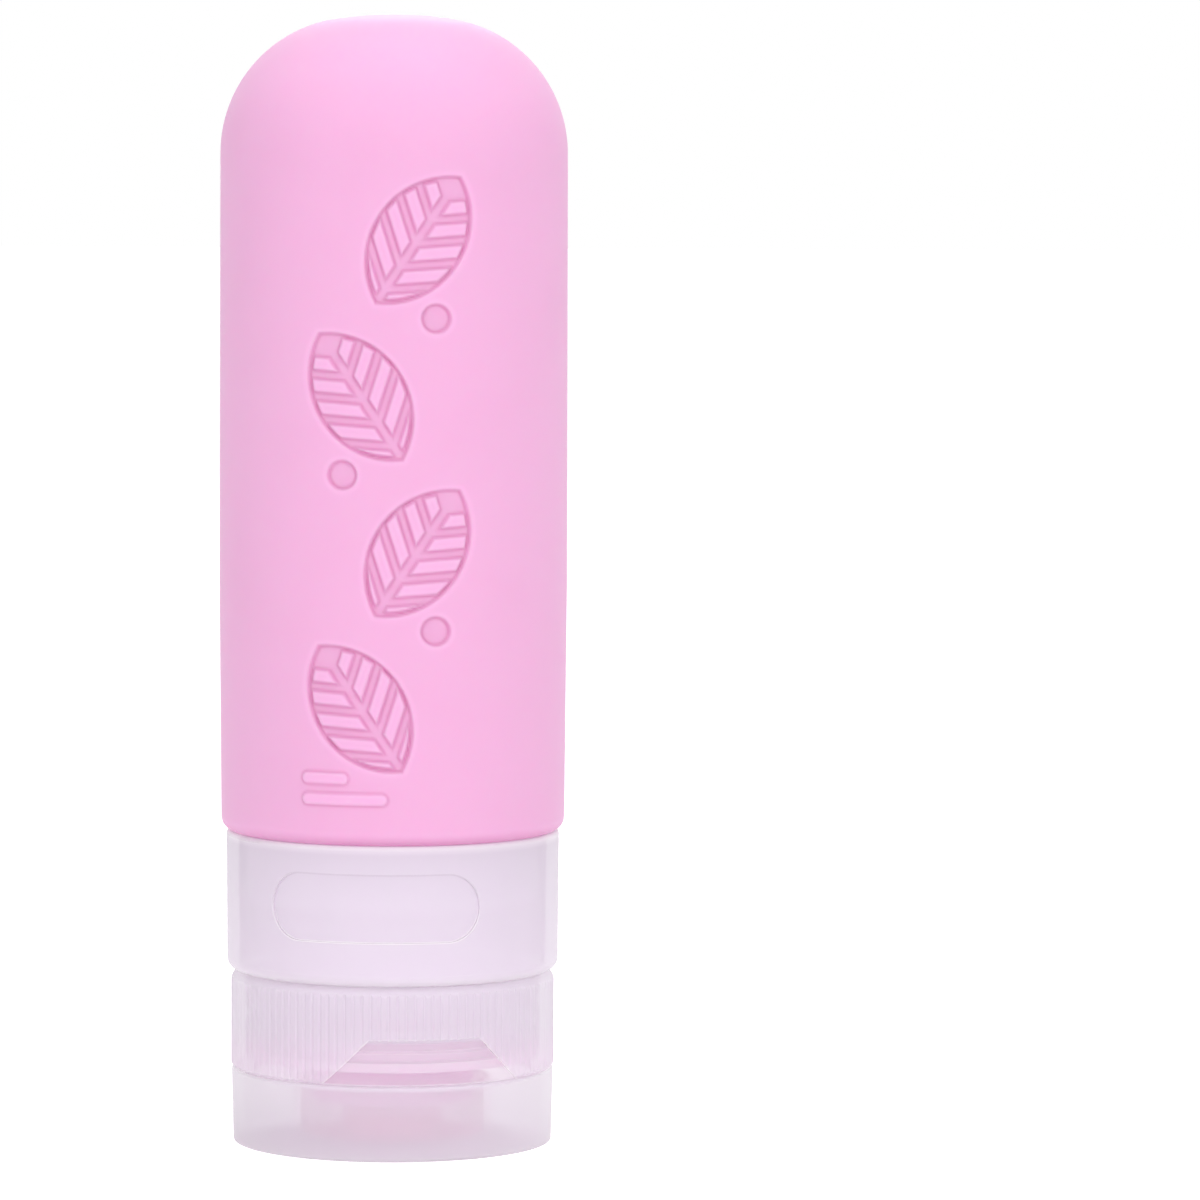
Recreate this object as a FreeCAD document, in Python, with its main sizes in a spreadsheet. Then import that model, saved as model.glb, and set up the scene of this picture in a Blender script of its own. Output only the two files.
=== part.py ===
import FreeCAD, Part
import math
import os
from types import SimpleNamespace

import Sketcher
from FreeCAD import Placement, Rotation, Vector

# Travel squeeze bottle standing on its closed flip lid.
# The origin is the centre of the lid's end face, +Z points up and the front faces -Y.

# Driving dimensions in millimetres, degrees, counts and shares
SIZES = {
    "overrun": 1.0,
    "fit_clearance": 0.05,
    # Silicone bottle
    "body_height": 98.8,
    "body_radius": 21.0,
    "body_swell": 0.1,
    "body_taper": 0.25,
    "body_taper_height": 30.0,
    "body_wall": 2.8,
    "crown_radius": 48.2,
    "shoulder_round": 16.4,
    "foot_round": 1.6,
    "lip_thickness": 3.0,
    # Leaf relief on the front and back
    "relief_depth": 0.5,
    "leaf_length": 18.0,
    "leaf_width": 11.0,
    "leaf_border": 0.4,
    "leaf_midrib": 1.3,
    "leaf_slat": 1.9,
    "leaf_slat_pitch": 3.3,
    "leaf_slat_angle": 38.0,
    "leaf_slat_pairs": 5,
    "leaf_count": 4,
    "leaf_rise": 18.6,
    "leaf_stagger": 3.4,
    "leaf_tilt": 34.0,
    "leaf_first_height": 16.5,
    "drop_radius": 1.7,
    "drop_stagger": 5.6,
    # Raised fill mark
    "mark_rise": 0.35,
    "mark_length": 10.4,
    "mark_bar": 1.3,
    "mark_bar_gap": 1.2,
    "mark_height": 5.0,
    "mark_clock": -14.8,
    "mark_short_share": 0.55,
    # Threaded neck
    "neck_wall": 1.5,
    "neck_flange_clearance": 0.25,
    "neck_flange_thickness": 1.5,
    "snap_bead": 0.4,
    "snap_bead_height": 1.4,
    "thread_pitch": 3.0,
    "thread_height": 0.9,
    "thread_base": 1.4,
    "thread_crest": 0.7,
    "thread_lead": 1.3,
    "thread_turns": 1.5,
    "thread_clearance": 0.45,
    "thread_flank_gap": 0.15,
    "thread_root": 0.3,
    # Collar
    "collar_gap": 0.15,
    "collar_height": 17.0,
    "collar_inset": 0.62,
    "collar_taper": 0.11,
    "collar_wall": 1.5,
    "collar_web": 1.3,
    "collar_sleeve_wall": 1.1,
    "collar_sleeve_height": 7.0,
    "collar_top_round": 0.5,
    "collar_foot_round": 1.35,
    "window_length": 26.9,
    "window_height": 8.15,
    "window_depth": 0.35,
    "window_drop": 7.55,
    "window_clock": -5.7,
    # Screw cap
    "seam_gap": 0.12,
    "cap_height": 11.8,
    "cap_inset": 0.47,
    "cap_wall": 1.75,
    "cap_top_round": 1.2,
    "cap_foot_round": 0.6,
    "cap_clock": 13.5,
    "cap_thread_height": 1.0,
    "cap_thread_turns": 1.25,
    "deck_thickness": 1.4,
    "deck_step_height": 0.9,
    "deck_step_wall": 1.0,
    "deck_step_clearance": 0.38,
    "rib_count": 115,
    "rib_depth": 0.11,
    "notch_half_angle": 37.5,
    "notch_top_half_angle": 24.2,
    "notch_height": 4.2,
    "notch_depth": 1.2,
    "notch_ledge": 0.3,
    "notch_ledge_drop": 0.4,
    "notch_ledge_pitch": 1.1,
    "notch_chamfer": 1.4,
    "gasket_thickness": 1.0,
    "gasket_clearance": 0.35,
    # Drip valve and its seat
    "spout_length": 4.9,
    "spout_wall": 1.1,
    "spout_taper": 0.6,
    "spout_lip": 1.0,
    "spout_lip_width": 2.6,
    "valve_seat_width": 3.4,
    "valve_flange_thickness": 3.0,
    "valve_hub_wall": 1.2,
    "valve_diaphragm": 1.1,
    "valve_dish": 0.8,
    "valve_slit_length": 6.5,
    "valve_slit_width": 0.15,
    "valve_clearance": 0.1,
    "valve_ring_width": 2.65,
    "valve_ring_thickness": 1.2,
    "boss_wall": 1.0,
    "boss_clearance": 0.75,
    "boss_margin": 0.3,
    # Flip lid
    "lid_height": 9.05,
    "lid_inset": 0.07,
    "lid_taper": 0.23,
    "lid_wall": 1.3,
    "lid_end_wall": 1.3,
    "lid_end_round": 0.35,
    "lid_rim_round": 0.3,
    "plug_clearance": 1.2,
    "plug_wall": 1.1,
    "plug_gap": 0.35,
    "seal_wall": 1.0,
    "seal_clearance": 0.25,
    "seal_rim_drop": 1.3,
    # Butterfly hinge across the seam at the back
    "hinge_half_width": 9.8,
    "hinge_half_height": 3.35,
    "hinge_waist_half_width": 3.7,
    "hinge_waist_half_height": 0.4,
    "hinge_pocket_depth": 0.75,
    "hinge_film": 0.4,
    "hinge_gap": 0.1,
    "hinge_rise": 0.1,
    "hinge_ridge": 0.5,
    "hinge_end_ridge": 0.35,
}

# Places of points and axes in a sketch
LINE_START, LINE_END, ARC_CENTRE = range(1, 4)
ACROSS_AXIS, UP_AXIS = range(-1, -3, -1)
ORIGIN = (ACROSS_AXIS, LINE_START)

FULL_TURN = 360
TOLERANCE = 1e-4


def number(size):
    return size.value if isinstance(size, Size) else size


class Size:
    """A size: its value, and the sheet expression that gives it."""

    def __init__(self, value, text):
        self.value = value
        self.text = text

    def joined(self, sign, other, value):
        other_text = other.text if isinstance(other, Size) else str(other)
        return Size(value, f"({self.text} {sign} {other_text})")

    def __add__(self, other):
        return self.joined("+", other, self.value + number(other))

    def __sub__(self, other):
        return self.joined("-", other, self.value - number(other))

    def __mul__(self, other):
        return self.joined("*", other, self.value * number(other))

    def __truediv__(self, other):
        return self.joined("/", other, self.value / number(other))

    def __neg__(self):
        return Size(-self.value, f"(-1 * {self.text})")

    def root(self):
        return Size(math.sqrt(self.value), f"sqrt({self.text})")

    def sine(self):
        return Size(math.sin(math.radians(self.value)), f"sin({self.text})")


ZERO = Size(0, "0")

doc = FreeCAD.newDocument("travel_bottle")
sheet = doc.addObject("Spreadsheet::Sheet", "Sizes")
for row, (alias, value) in enumerate(SIZES.items(), start=1):
    sheet.set(f"A{row}", alias)
    sheet.set(f"B{row}", str(value))
    sheet.setAlias(f"B{row}", alias)
doc.recompute()
size = SimpleNamespace(**{alias: Size(float(sheet.get(alias)), f"Sizes.{alias}") for alias in SIZES})

# Heights, from the lid's end face up
seam = size.lid_height + size.seam_gap
hinge_level = size.lid_height + size.seam_gap / 2
cap_top = seam + size.cap_height
deck_top = seam + size.deck_thickness
neck_rim = deck_top + size.gasket_thickness
collar_foot = cap_top + size.collar_gap
body_foot = collar_foot + size.collar_height
collar_web_foot = body_foot - size.collar_web
sleeve_foot = collar_web_foot - size.collar_sleeve_height
lip_top = body_foot + size.lip_thickness
taper_top = body_foot + size.body_taper_height
body_top = body_foot + size.body_height

# Radii, from the bottle's wall in to the axis
belly_radius = size.body_radius + size.body_swell
body_foot_radius = belly_radius - size.body_taper
collar_radius = body_foot_radius - size.collar_inset
collar_foot_radius = collar_radius - size.collar_taper
cap_radius = collar_foot_radius - size.cap_inset
cap_bore = cap_radius - size.cap_wall
lid_rim_radius = cap_radius - size.lid_inset
lid_end_radius = lid_rim_radius - size.lid_taper
lid_bore = lid_rim_radius - size.lid_wall
neck_radius = cap_bore - size.thread_clearance - size.thread_height
neck_seat = neck_radius + size.fit_clearance
neck_bore = neck_radius - size.neck_wall
boss_radius = neck_bore - size.boss_clearance
boss_bore = boss_radius - size.boss_wall
valve_flange_radius = boss_bore - size.valve_clearance
spout_bore = valve_flange_radius - size.valve_seat_width
spout_root_radius = spout_bore + size.spout_wall
orifice_radius = spout_bore - size.spout_lip_width

# Thread ridges: the cap's ridge lies against the upper flank of the neck's
neck_thread_middle = neck_rim + size.thread_lead
ridge_mean_width = (size.thread_base + size.thread_crest) / 2
cap_thread_clocking = size.thread_pitch * size.cap_clock / FULL_TURN
cap_thread_middle = neck_thread_middle + ridge_mean_width + size.thread_flank_gap + cap_thread_clocking


def bind(thing, path, amount):
    thing.setExpression(path, amount.text)


def flat(corner):
    across, up = corner
    return Vector(across.value, up.value, 0)


def hold_point(sketch, line, corner):
    """Ties the start of a line to the two sizes that place it."""
    kinds = ("DistanceX", "DistanceY")
    axes = (UP_AXIS, ACROSS_AXIS)
    for kind, axis, amount in zip(kinds, axes, corner):
        if amount is ZERO:
            sketch.addConstraint(Sketcher.Constraint("PointOnObject", line, LINE_START, axis))
        else:
            rule = Sketcher.Constraint(kind, *ORIGIN, line, LINE_START, amount.value)
            index = sketch.addConstraint(rule)
            bind(sketch, f"Constraints[{index}]", amount)


def draw_outline(sketch, corners, crown=None):
    """Closes an outline through corners. A crown radius makes its last side but one an arc about the axis."""
    sides = list(zip(corners, corners[1:] + corners[:1]))
    arc_side = len(corners) - 2 if crown else None
    for side, (start, end) in enumerate(sides):
        if side == arc_side:
            centre = flat(end) - Vector(0, crown.value, 0)
            circle = Part.Circle(centre, Vector(0, 0, 1), crown.value)
            start_angle = math.atan2(start[1].value - centre.y, start[0].value)
            sketch.addGeometry(Part.ArcOfCircle(circle, start_angle, math.pi / 2), False)
            sketch.addConstraint(Sketcher.Constraint("PointOnObject", side, ARC_CENTRE, UP_AXIS))
        else:
            sketch.addGeometry(Part.LineSegment(flat(start), flat(end)), False)
    for side, corner in enumerate(corners):
        following = (side + 1) % len(corners)
        sketch.addConstraint(Sketcher.Constraint("Coincident", side, LINE_END, following, LINE_START))
        hold_point(sketch, side, corner)


def sketch_in(body, name, role="XZ_Plane"):
    plane = next(feature for feature in body.Origin.OriginFeatures if feature.Role == role)
    sketch = body.newObject("Sketcher::SketchObject", name)
    sketch.AttachmentSupport = [(plane, "")]
    sketch.MapMode = "FlatFace"
    return sketch


def turn(body, kind, name, corners, crown=None):
    """Turns an outline of (radius, height) corners about the bottle's axis."""
    sketch = sketch_in(body, f"{name}_outline")
    draw_outline(sketch, corners, crown)
    feature = body.newObject(f"PartDesign::{kind}", name)
    feature.Profile = sketch
    feature.ReferenceAxis = (sketch, ["V_Axis"])
    feature.Angle = FULL_TURN
    doc.recompute()
    return feature


def turned_body(label, corners):
    body = doc.addObject("PartDesign::Body", label)
    turn(body, "Revolution", f"{label}_turn", corners)
    return body


def ring_edges(shape, rings):
    """Names of the round edges at the given (radius, height) places."""
    names = []
    for index, edge in enumerate(shape.Edges, start=1):
        if edge.Degenerated or not isinstance(edge.Curve, Part.Circle):
            continue
        for radius, height in rings:
            same_radius = abs(edge.Curve.Radius - radius.value) < TOLERANCE
            same_height = abs(edge.Curve.Center.z - height.value) < TOLERANCE
            if same_radius and same_height:
                names.append(f"Edge{index}")
    return names


def round_edges(body, name, rings, radius):
    base = body.Tip
    feature = body.newObject("PartDesign::Fillet", name)
    feature.Base = (base, ring_edges(base.Shape, rings))
    bind(feature, "Radius", radius)
    doc.recompute()


def add_thread(body, name, corners, turns):
    """Winds a thread ridge of the given (radius, height) outline up the body."""
    sketch = sketch_in(body, f"{name}_outline")
    draw_outline(sketch, corners)
    ridge = body.newObject("PartDesign::AdditiveHelix", name)
    ridge.Profile = sketch
    ridge.ReferenceAxis = (sketch, ["V_Axis"])
    ridge.Mode = "pitch-turns-angle"
    bind(ridge, "Pitch", size.thread_pitch)
    bind(ridge, "Turns", turns)
    doc.recompute()


def ridge_outline(root, crest, middle):
    """Corners of a thread ridge from its root radius to its crest radius, about a middle height."""
    half_base = size.thread_base / 2
    half_crest = size.thread_crest / 2
    return [
        (root, middle - half_base),
        (crest, middle - half_crest),
        (crest, middle + half_crest),
        (root, middle + half_base),
    ]


def combine(kind, label, base, tool):
    result = doc.addObject(f"Part::{kind}", label)
    result.Base = base
    result.Tool = tool
    return result


def fuse_all(label, pieces):
    result = doc.addObject("Part::MultiFuse", label)
    result.Shapes = pieces
    return result


def cylinder(label, radius, foot, top):
    solid = doc.addObject("Part::Cylinder", label)
    bind(solid, "Radius", radius)
    bind(solid, "Height", top - foot)
    bind(solid, "Placement.Base.z", foot)
    return solid


def prism(label, corners, reach, direction):
    """Pushes an upright outline of (across, height) corners from the axis along a level direction."""
    sketch = doc.addObject("Sketcher::SketchObject", f"{label}_outline")
    sketch.Placement = Placement(Vector(), Rotation(Vector(1, 0, 0), FULL_TURN / 4))
    draw_outline(sketch, corners)
    solid = doc.addObject("Part::Extrusion", label)
    solid.Base = sketch
    solid.DirMode = "Custom"
    solid.Dir = direction
    solid.Solid = True
    bind(solid, "LengthFwd", reach)
    return solid


def clock(piece, angle):
    """Turns a piece about the bottle's axis, from the front towards the right."""
    piece.Placement = Placement(Vector(), Rotation(Vector(0, 0, 1), angle.value))
    return piece


def wall_outline(offset, foot, top):
    """Corners of the bottle's outer wall, moved out by an offset."""
    return [
        (ZERO, foot),
        (body_foot_radius + offset, foot),
        (belly_radius + offset, taper_top),
        (size.body_radius + offset, top),
        (ZERO, top),
    ]


def domed_body(label, wall, foot, top):
    """The bottle's outside, or its cavity when a wall is taken off, as one solid with a rounded shoulder."""
    radius = size.body_radius - wall
    crown = size.crown_radius - wall
    crown_drop = crown - (crown * crown - radius * radius).root()
    shoulder = (radius, top - crown_drop)
    body = doc.addObject("PartDesign::Body", label)
    corners = [
        (ZERO, foot),
        (body_foot_radius - wall, foot),
        (belly_radius - wall, taper_top),
        shoulder,
        (ZERO, top),
    ]
    turn(body, "Revolution", f"{label}_turn", corners, crown)
    round_edges(body, f"{label}_shoulder", [shoulder], size.shoulder_round - wall)
    return body


def lens(half_length, half_width):
    """Upright pointed leaf outline between two arcs, in the XZ plane."""
    tip = Vector(0, 0, half_length)
    tail = Vector(0, 0, -half_length)
    right = Part.Arc(tip, Vector(half_width, 0, 0), tail).toShape()
    left = Part.Arc(tail, Vector(-half_width, 0, 0), tip).toShape()
    return Part.Face(Part.Wire([right, left]))


def leaf_slat(side, middle):
    """One slanted strip that stays raised beside the midrib."""
    inner = size.leaf_midrib.value / 2
    outer = size.leaf_width.value
    climb = (outer - inner) * math.tan(math.radians(size.leaf_slat_angle.value))
    half = size.leaf_slat.value / 2
    corners = [
        Vector(side * inner, 0, middle - half),
        Vector(side * outer, 0, middle - half + climb),
        Vector(side * outer, 0, middle + half + climb),
        Vector(side * inner, 0, middle + half),
    ]
    return Part.Face(Part.makePolygon(corners + corners[:1]))


def leaf_recess():
    """Sunk stripes of one upright leaf."""
    half_length = size.leaf_length.value / 2
    half_width = size.leaf_width.value / 2
    border = size.leaf_border.value
    inside = lens(half_length - border * half_length / half_width, half_width - border)
    pairs = int(size.leaf_slat_pairs.value)
    lowest = -size.leaf_slat_pitch.value * pairs / 2
    slats = []
    for pair in range(pairs):
        middle = lowest + pair * size.leaf_slat_pitch.value
        for side in (1, -1):
            slats.append(leaf_slat(side, middle).common(inside))
    return lens(half_length, half_width).cut(slats)


def relief_prisms():
    """Leaves and drops of both sides, pushed from the axis out through the wall."""
    reach = Vector(0, -(belly_radius + size.overrun).value, 0)
    leaf = leaf_recess()
    drop = Part.Face(Part.Wire(Part.makeCircle(size.drop_radius.value, Vector(), Vector(0, 1, 0))))
    solids = []
    for index in range(int(size.leaf_count.value)):
        side = 1 if index % 2 else -1
        height = (body_foot + size.leaf_first_height + size.leaf_rise * index).value
        tilt = Rotation(Vector(0, 1, 0), side * size.leaf_tilt.value)
        leaf.Placement = Placement(Vector(side * size.leaf_stagger.value, 0, height), tilt)
        solids.append(leaf.extrude(reach))
        if index:
            below = height - size.leaf_rise.value / 2
            drop.Placement = Placement(Vector(side * size.drop_stagger.value, 0, below), Rotation())
            solids.append(drop.extrude(reach))
    front = Part.makeCompound(solids)
    back = front.copy()
    back.Placement = Placement(Vector(), Rotation(Vector(0, 0, 1), FULL_TURN / 2))
    return Part.makeCompound([front, back])


def make_squeeze_body():
    outside = domed_body("bottle_outside", ZERO, body_foot, body_top)
    round_edges(outside, "foot_edge", [(body_foot_radius, body_foot)], size.foot_round)
    cavity = domed_body("bottle_cavity", size.body_wall, lip_top, body_top - size.body_wall)
    mouth = cylinder("bottle_mouth", neck_seat, body_foot - size.overrun, lip_top + size.overrun)
    shell = combine("Cut", "bottle_shell", outside, fuse_all("bottle_hollow", [cavity, mouth]))

    prisms = doc.addObject("Part::Feature", "relief_prisms")
    prisms.Shape = relief_prisms()
    core = turned_body("relief_core", wall_outline(-size.relief_depth, body_foot, body_top))
    relief = combine("Cut", "relief", prisms, core)
    return combine("Cut", "squeeze_body", combine("Fuse", "marked_shell", shell, make_fill_mark()), relief)


def make_fill_mark():
    """Two raised bars low on the front wall."""
    skin = turned_body("mark_skin", wall_outline(size.mark_rise, body_foot, body_top))
    lengths = (size.mark_length, size.mark_length * size.mark_short_share)
    bars = []
    for index, length in enumerate(lengths):
        foot = body_foot + size.mark_height + (size.mark_bar + size.mark_bar_gap) * index
        left = -size.mark_length / 2
        right = left + length
        corners = [(left, foot), (right, foot), (right, foot + size.mark_bar), (left, foot + size.mark_bar)]
        bars.append(prism(f"mark_bar_{index}", corners, belly_radius + size.overrun, Vector(0, -1, 0)))
    bore = cylinder("mark_bore", body_foot_radius - size.body_wall / 2, body_foot, body_top)
    raised = combine("Common", "mark_raised", fuse_all("mark_bars", bars), skin)
    return clock(combine("Cut", "fill_mark", raised, bore), size.mark_clock)


def make_neck_insert():
    bead_radius = neck_radius + size.snap_bead
    bead_top = sleeve_foot - size.fit_clearance
    bead_foot = bead_top - size.snap_bead_height
    flange_radius = body_foot_radius - size.body_wall - size.neck_flange_clearance
    flange_top = lip_top + size.neck_flange_thickness
    neck = turned_body("neck_insert", [
        (neck_bore, neck_rim),
        (neck_radius, neck_rim),
        (neck_radius, bead_foot),
        (bead_radius, bead_top - size.snap_bead),
        (bead_radius, bead_top),
        (neck_radius, bead_top),
        (neck_radius, lip_top),
        (flange_radius, lip_top),
        (flange_radius, flange_top),
        (neck_bore, flange_top),
    ])
    root = neck_radius - size.thread_root
    crest = neck_radius + size.thread_height
    add_thread(neck, "neck_thread", ridge_outline(root, crest, neck_thread_middle), size.thread_turns)
    return neck


def make_collar():
    sleeve_radius = neck_seat + size.collar_sleeve_wall
    top_edge = (collar_radius, body_foot)
    foot_edge = (collar_foot_radius, collar_foot)
    ring = turned_body("collar_ring", [
        (neck_seat, body_foot),
        top_edge,
        foot_edge,
        (collar_foot_radius - size.collar_wall, collar_foot),
        (collar_radius - size.collar_wall, collar_web_foot),
        (sleeve_radius, collar_web_foot),
        (sleeve_radius, sleeve_foot),
        (neck_seat, sleeve_foot),
    ])
    round_edges(ring, "collar_top_edge", [top_edge], size.collar_top_round)
    round_edges(ring, "collar_foot_edge", [foot_edge], size.collar_foot_round)
    return clock(combine("Cut", "collar", ring, make_window()), size.window_clock)


def make_window():
    """Shallow label recess with round ends, wrapped round the collar's front."""
    middle = body_foot - size.window_drop
    half_height = size.window_height / 2
    reach = collar_radius + size.overrun
    straight = (size.window_length - size.window_height) / collar_radius
    sweep = math.degrees(straight.value)
    band = cylinder("window_band", reach, middle - half_height, middle + half_height)
    band.Angle = sweep
    band.Placement.Rotation = Rotation(Vector(0, 0, 1), -FULL_TURN / 4 - sweep / 2)
    ends = []
    for name, angle in (("left", -sweep / 2), ("right", sweep / 2)):
        end = doc.addObject("Part::Cylinder", f"window_{name}_end")
        bind(end, "Radius", half_height)
        bind(end, "Height", reach)
        bind(end, "Placement.Base.z", middle)
        outward = Rotation(Vector(0, 0, 1), angle).multVec(Vector(0, -1, 0))
        end.Placement.Rotation = Rotation(Vector(0, 0, 1), outward)
        ends.append(end)
    core = turned_body("window_core", [
        (ZERO, collar_foot),
        (collar_foot_radius - size.window_depth, collar_foot),
        (collar_radius - size.window_depth, body_foot),
        (ZERO, body_foot),
    ])
    return combine("Cut", "window", fuse_all("window_stadium", [band] + ends), core)


def rib_star():
    """Prism whose outline zigzags round the cap, so that it leaves ribs on a round skirt."""
    count = int(size.rib_count.value)
    foot = (seam - size.spout_length - size.overrun).value
    corners = []
    for index in range(2 * count):
        sign = 1 if index % 2 else -1
        radius = cap_radius.value + sign * size.rib_depth.value
        angle = math.pi * index / count
        corners.append(Vector(radius * math.cos(angle), radius * math.sin(angle), foot))
    outline = Part.Face(Part.makePolygon(corners + corners[:1]))
    return outline.extrude(Vector(0, 0, (cap_top + size.overrun).value - foot))


def make_cap_base():
    spout_end = seam - size.spout_length
    step_foot = seam - size.deck_step_height
    step_radius = lid_bore - size.deck_step_clearance
    boss_top = deck_top + size.valve_flange_thickness + size.valve_ring_thickness + size.boss_margin
    lip_inside = spout_end + size.spout_lip
    foot_edge = (cap_radius, seam)
    top_edge = (cap_radius, cap_top)
    cap = turned_body("cap_skirt", [
        (orifice_radius, spout_end),
        (spout_root_radius - size.spout_taper, spout_end),
        (spout_root_radius, seam),
        (step_radius - size.deck_step_wall, seam),
        (step_radius - size.deck_step_wall, step_foot),
        (step_radius, step_foot),
        (step_radius, seam),
        foot_edge,
        top_edge,
        (cap_bore, cap_top),
        (cap_bore, deck_top),
        (boss_radius, deck_top),
        (boss_radius, boss_top),
        (boss_bore, boss_top),
        (boss_bore, deck_top),
        (spout_bore, deck_top),
        (spout_bore, lip_inside),
        (orifice_radius, lip_inside),
    ])
    round_edges(cap, "cap_top_edge", [top_edge], size.cap_top_round)
    round_edges(cap, "cap_foot_edge", [foot_edge], size.cap_foot_round)
    root = cap_bore + size.thread_root
    crest = cap_bore - size.cap_thread_height
    add_thread(cap, "cap_thread", ridge_outline(root, crest, cap_thread_middle), size.cap_thread_turns)
    notched = combine("Cut", "notched_skirt", cap, make_notch())
    hinged = combine("Cut", "hinged_skirt", notched, make_hinge_pocket("cap_pocket"))
    star = doc.addObject("Part::Feature", "rib_star")
    star.Shape = rib_star()
    return clock(combine("Common", "cap_base", hinged, star), size.cap_clock)


def make_notch():
    """Thumb notch: a trapezoid recess with a sloped top edge and two sloped ledges on its back wall."""
    ceiling = seam + size.notch_height
    top = ceiling + size.notch_chamfer
    below = seam - size.overrun
    ledge = ceiling - size.notch_ledge_drop
    lower_ledge = ledge - size.notch_ledge_pitch
    half_foot = cap_radius * size.notch_half_angle.sine()
    half_ceiling = cap_radius * size.notch_top_half_angle.sine()
    slope = (half_foot - half_ceiling) / size.notch_height
    half_below = half_foot + slope * size.overrun
    half_top = half_ceiling - slope * size.notch_chamfer
    opening = prism("notch_opening", [
        (-half_below, below),
        (half_below, below),
        (half_top, top),
        (-half_top, top),
    ], cap_radius + size.overrun, Vector(0, -1, 0))
    back = cap_radius - size.notch_depth
    core = turned_body("notch_core", [
        (ZERO, below),
        (back + size.notch_ledge * 2, below),
        (back + size.notch_ledge * 2, lower_ledge),
        (back + size.notch_ledge, lower_ledge + size.notch_ledge),
        (back + size.notch_ledge, ledge),
        (back, ledge + size.notch_ledge),
        (back, ceiling),
        (cap_radius, top),
        (ZERO, top),
    ])
    return combine("Cut", "thumb_notch", opening, core)


def make_hinge_pocket(label):
    """Bow tie recess across the seam at the back."""
    half_width = size.hinge_half_width
    half_height = size.hinge_half_height
    waist = size.hinge_waist_half_width
    waist_height = size.hinge_waist_half_height
    tie = prism(f"{label}_tie", [
        (-half_width, hinge_level - half_height),
        (-waist, hinge_level - waist_height),
        (waist, hinge_level - waist_height),
        (half_width, hinge_level - half_height),
        (half_width, hinge_level + half_height),
        (waist, hinge_level + waist_height),
        (-waist, hinge_level + waist_height),
        (-half_width, hinge_level + half_height),
    ], cap_radius + size.overrun, Vector(0, 1, 0))
    core = cylinder(f"{label}_core", cap_radius - size.hinge_pocket_depth, ZERO, cap_top)
    return combine("Cut", label, tie, core)


def curved_plate(label, corners, inner, outer):
    """Plate of an upright outline at the back, bent to the cap between two radii."""
    slab = prism(f"{label}_slab", corners, cap_radius + size.overrun, Vector(0, 1, 0))
    outside = cylinder(f"{label}_outside", outer, ZERO, cap_top)
    inside = cylinder(f"{label}_inside", inner, ZERO, cap_top)
    shell = combine("Cut", f"{label}_shell", outside, inside)
    return combine("Common", f"{label}_plate", slab, shell)


def make_hinge_wing(label, side):
    """Triangular spring plate: a thin film with a raised ridge along each edge."""
    start = size.hinge_waist_half_width + size.hinge_gap
    end = size.hinge_half_width - size.hinge_gap
    start_half = size.hinge_waist_half_height - size.hinge_gap
    end_half = size.hinge_half_height - size.hinge_gap * 2
    inner = cap_radius - size.hinge_pocket_depth + size.hinge_gap
    outer = cap_radius + size.hinge_rise
    film = curved_plate(f"{label}_film", [
        (start * side, hinge_level - start_half),
        (end * side, hinge_level - end_half),
        (end * side, hinge_level + end_half),
        (start * side, hinge_level + start_half),
    ], inner, inner + size.hinge_film)
    pieces = [film]
    for name, sign in (("lower", -1), ("upper", 1)):
        pieces.append(curved_plate(f"{label}_{name}_ridge", [
            (start * side, hinge_level),
            (start * side, hinge_level + start_half * sign),
            (end * side, hinge_level + end_half * sign),
            (end * side, hinge_level + (end_half - size.hinge_ridge) * sign),
        ], inner, outer))
    ridge_start = end - size.hinge_end_ridge
    ridge_half = end_half - (end_half - start_half) * size.hinge_end_ridge / (end - start)
    pieces.append(curved_plate(f"{label}_end_ridge", [
        (ridge_start * side, hinge_level - ridge_half),
        (end * side, hinge_level - end_half),
        (end * side, hinge_level + end_half),
        (ridge_start * side, hinge_level + ridge_half),
    ], inner, outer))
    return clock(fuse_all(label, pieces), size.cap_clock)


def make_hinge_web():
    half_width = size.hinge_waist_half_width
    half_height = size.hinge_waist_half_height - size.hinge_gap
    inner = cap_radius - size.hinge_pocket_depth + size.hinge_gap
    plate = curved_plate("hinge_strap", [
        (-half_width, hinge_level - half_height),
        (half_width, hinge_level - half_height),
        (half_width, hinge_level + half_height),
        (-half_width, hinge_level + half_height),
    ], inner, cap_radius + size.hinge_rise)
    plate.Label = "hinge_web"
    return clock(plate, size.cap_clock)


def make_cap_gasket():
    inner = boss_radius + size.gasket_clearance
    outer = cap_bore - size.gasket_clearance
    corners = [(inner, deck_top), (outer, deck_top), (outer, neck_rim), (inner, neck_rim)]
    return turned_body("cap_gasket", corners)


def make_drip_valve():
    """Top hat valve: a thick flange, a hub down the spout and a dished end with a cross slit."""
    seat = seam - size.spout_length + size.spout_lip
    inside = seat + size.valve_diaphragm
    hub = spout_bore - size.valve_clearance
    hub_bore = hub - size.valve_hub_wall
    flange_top = deck_top + size.valve_flange_thickness
    valve = turned_body("drip_valve", [
        (ZERO, seat + size.valve_dish),
        (orifice_radius, seat),
        (hub, seat),
        (hub, deck_top),
        (valve_flange_radius, deck_top),
        (valve_flange_radius, flange_top),
        (hub_bore, flange_top),
        (hub_bore, inside),
        (ZERO, inside + size.valve_dish),
    ])
    half_length = size.valve_slit_length / 2
    half_width = size.valve_slit_width / 2
    for name, across, along in (("slit", half_length, half_width), ("cross_slit", half_width, half_length)):
        sketch = sketch_in(valve, f"{name}_outline", "XY_Plane")
        draw_outline(sketch, [(-across, -along), (across, -along), (across, along), (-across, along)])
        slit = valve.newObject("PartDesign::Pocket", name)
        slit.Profile = sketch
        slit.Type = "ThroughAll"
        slit.Reversed = True
        doc.recompute()
    return clock(valve, size.cap_clock)


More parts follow.
